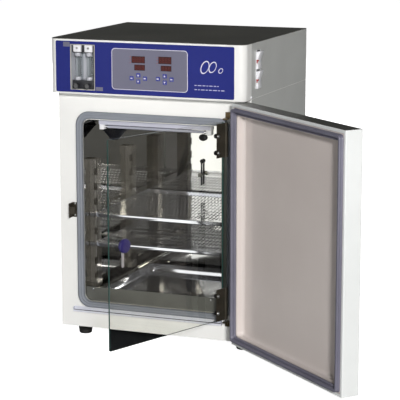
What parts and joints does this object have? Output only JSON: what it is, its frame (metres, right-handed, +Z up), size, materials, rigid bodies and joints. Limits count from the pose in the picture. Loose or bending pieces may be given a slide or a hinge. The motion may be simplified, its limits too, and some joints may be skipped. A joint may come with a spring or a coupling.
{
  "type": "laboratory incubator",
  "caption": "Bench-top gas incubator: steel cabinet on feet with a control head, heated polished chamber with shelves, an inner glass door and an insulated outer door.",
  "frame": {"origin": "on the floor that the feet stand on, in the middle of the whole object's box with both doors as in the picture", "axes": "+X to the right of someone facing the doors, +Y from the front to the back, +Z up"},
  "size_m": [0.9682, 0.9228, 0.8462],
  "materials": {
    "white_powder_coat": "satin powder coat",
    "dark_grey_coat": "satin powder coat",
    "mirror_steel": "mirror polished stainless steel",
    "bright_steel_wire": "electropolished",
    "satin_steel": "satin",
    "zinc_steel": "zinc plated",
    "anodised_aluminium": "clear anodised",
    "dark_bronze_steel": "dark bronze plated",
    "brass": "polished",
    "silicone_seal": "soft silicone",
    "magnetic_gasket": "ribbed bellows over a magnetic strip",
    "door_lining": "satin coat",
    "foot_rubber": "matte",
    "blue_overlay": "printed polycarbonate film",
    "button_film": "satin",
    "knob_blue": "moulded",
    "black_plastic": "moulded",
    "white_plastic": "moulded",
    "clear_acrylic": "clear",
    "door_glass": "clear tempered, green edges",
    "mineral_wool": "fibrous",
    "float_red": "moulded"
  },
  "bodies": {
    "cabinet": {"base_pan": "white_powder_coat", "cabinet_wrapper": "white_powder_coat", "chamber_liner": "mirror_steel", "chamber_seal": "silicone_seal", "control_module": "zinc_steel", "control_overlay": "blue_overlay", "door_hinge_lower": "zinc_steel", "door_hinge_upper": "zinc_steel", "drip_rail": "satin_steel", "fan_motor": "zinc_steel", "flowmeter_pocket": "anodised_aluminium", "flowmeter_tube_left": "clear_acrylic", "flowmeter_tube_right": "clear_acrylic", "foot_front_left": "foot_rubber", "foot_front_right": "foot_rubber", "foot_rear_left": "foot_rubber", "foot_rear_right": "foot_rubber", "front_frame": "white_powder_coat", "front_sill": "satin_steel", "glass_bracket_lower": "brass", "glass_bracket_upper": "brass", "glass_hinge_rod": "dark_bronze_steel", "glass_keeper": "dark_bronze_steel", "head_base": "white_powder_coat", "head_fascia": "white_powder_coat", "head_shell": "white_powder_coat", "insulation_wrap": "mineral_wool", "lamp_fixture": "white_plastic", "service_panel": "black_plastic", "side_rack_left": "mirror_steel", "side_rack_right": "mirror_steel", "temperature_probe": "black_plastic", "top_cover": "dark_grey_coat"},
    "outer_door": {"door_shell": "white_powder_coat", "door_inner_panel": "door_lining", "door_gasket": "magnetic_gasket", "door_insulation": "mineral_wool", "door_handle": "anodised_aluminium"},
    "glass_door": {"glass_pane": "door_glass", "glass_strap_upper": "dark_bronze_steel", "glass_strap_lower": "dark_bronze_steel"},
    "latch_knob": {"glass_knob": "knob_blue"},
    "shelf_upper": {"shelf_upper": "bright_steel_wire"},
    "shelf_lower": {"shelf_lower": "bright_steel_wire"},
    "water_pan": {"water_pan": "satin_steel"},
    "fan_wheel": {"fan_wheel": "black_plastic"},
    "float_left": {"float_left": "float_red"},
    "float_right": {"float_right": "float_red"},
    "valve_knob_left": {"valve_knob_left": "black_plastic"},
    "valve_knob_right": {"valve_knob_right": "black_plastic"},
    "rocker_upper": {"rocker_upper": "white_plastic"},
    "rocker_lower": {"rocker_lower": "white_plastic"},
    "button_left_west": {"button_left_west": "button_film"},
    "button_left_north": {"button_left_north": "button_film"},
    "button_left_south": {"button_left_south": "button_film"},
    "button_left_east": {"button_left_east": "button_film"},
    "button_right_west": {"button_right_west": "button_film"},
    "button_right_north": {"button_right_north": "button_film"},
    "button_right_south": {"button_right_south": "button_film"},
    "button_right_east": {"button_right_east": "button_film"}
  },
  "joints": [
    {"name": "outer_door_hinge", "type": "hinge", "parent": "cabinet", "child": "outer_door", "pos_m": [0.06529, -0.08078, 0.371], "axis": [0, 0, 1], "range_deg": [-139.2, 40.8]},
    {"name": "glass_door_hinge", "type": "hinge", "parent": "cabinet", "child": "glass_door", "pos_m": [0.01244, -0.05788, 0.371], "axis": [0, 0, 1], "range_deg": [-68.5, 20.13]},
    {"name": "latch_knob_turn", "type": "hinge", "parent": "glass_door", "child": "latch_knob", "pos_m": [-0.13153, -0.41927, 0.3685], "axis": [-0.9304, 0.3665, 0], "range_deg": [0, 90]},
    {"name": "shelf_upper_slide", "type": "slide", "parent": "cabinet", "child": "shelf_upper", "axis": [0, -1, 0], "range_m": [0, 0.04]},
    {"name": "shelf_lower_slide", "type": "slide", "parent": "cabinet", "child": "shelf_lower", "axis": [0, -1, 0], "range_m": [0, 0.04]},
    {"name": "water_pan_slide", "type": "slide", "parent": "cabinet", "child": "water_pan", "axis": [0, -1, 0], "range_m": [0, 0.02]},
    {"name": "fan_spin", "type": "hinge", "parent": "cabinet", "child": "fan_wheel", "pos_m": [-0.35906, 0.05561, 0.615], "axis": [0, 0, 1], "continuous": true},
    {"name": "float_left_rise", "type": "slide", "parent": "cabinet", "child": "float_left", "axis": [0, 0, 1], "range_m": [0, 0.06]},
    {"name": "float_right_rise", "type": "slide", "parent": "cabinet", "child": "float_right", "axis": [0, 0, 1], "range_m": [0, 0.06]},
    {"name": "valve_knob_left_turn", "type": "hinge", "parent": "cabinet", "child": "valve_knob_left", "pos_m": [-0.40256, -0.08339, 0.7205], "axis": [0, -1, 0], "range_deg": [0, 330]},
    {"name": "valve_knob_right_turn", "type": "hinge", "parent": "cabinet", "child": "valve_knob_right", "pos_m": [-0.36956, -0.08339, 0.7205], "axis": [0, -1, 0], "range_deg": [0, 330]},
    {"name": "rocker_upper_tilt", "type": "hinge", "parent": "cabinet", "child": "rocker_upper", "pos_m": [0.07294, 0.01261, 0.799], "axis": [0, -1, 0], "range_deg": [0, 14]},
    {"name": "rocker_lower_tilt", "type": "hinge", "parent": "cabinet", "child": "rocker_lower", "pos_m": [0.07294, 0.01261, 0.7475], "axis": [0, -1, 0], "range_deg": [0, 14]},
    {"name": "button_left_west_press", "type": "slide", "parent": "cabinet", "child": "button_left_west", "axis": [0, 1, 0], "range_m": [0, 0.0008], "stiffness_N_per_m": 300},
    {"name": "button_left_north_press", "type": "slide", "parent": "cabinet", "child": "button_left_north", "axis": [0, 1, 0], "range_m": [0, 0.0008], "stiffness_N_per_m": 300},
    {"name": "button_left_south_press", "type": "slide", "parent": "cabinet", "child": "button_left_south", "axis": [0, 1, 0], "range_m": [0, 0.0008], "stiffness_N_per_m": 300},
    {"name": "button_left_east_press", "type": "slide", "parent": "cabinet", "child": "button_left_east", "axis": [0, 1, 0], "range_m": [0, 0.0008], "stiffness_N_per_m": 300},
    {"name": "button_right_west_press", "type": "slide", "parent": "cabinet", "child": "button_right_west", "axis": [0, 1, 0], "range_m": [0, 0.0008], "stiffness_N_per_m": 300},
    {"name": "button_right_north_press", "type": "slide", "parent": "cabinet", "child": "button_right_north", "axis": [0, 1, 0], "range_m": [0, 0.0008], "stiffness_N_per_m": 300},
    {"name": "button_right_south_press", "type": "slide", "parent": "cabinet", "child": "button_right_south", "axis": [0, 1, 0], "range_m": [0, 0.0008], "stiffness_N_per_m": 300},
    {"name": "button_right_east_press", "type": "slide", "parent": "cabinet", "child": "button_right_east", "axis": [0, 1, 0], "range_m": [0, 0.0008], "stiffness_N_per_m": 300}
  ],
  "couplings": [
    {"joint": "glass_door_hinge", "follows": "outer_door_hinge", "ratio": 0.4921}
  ]
}
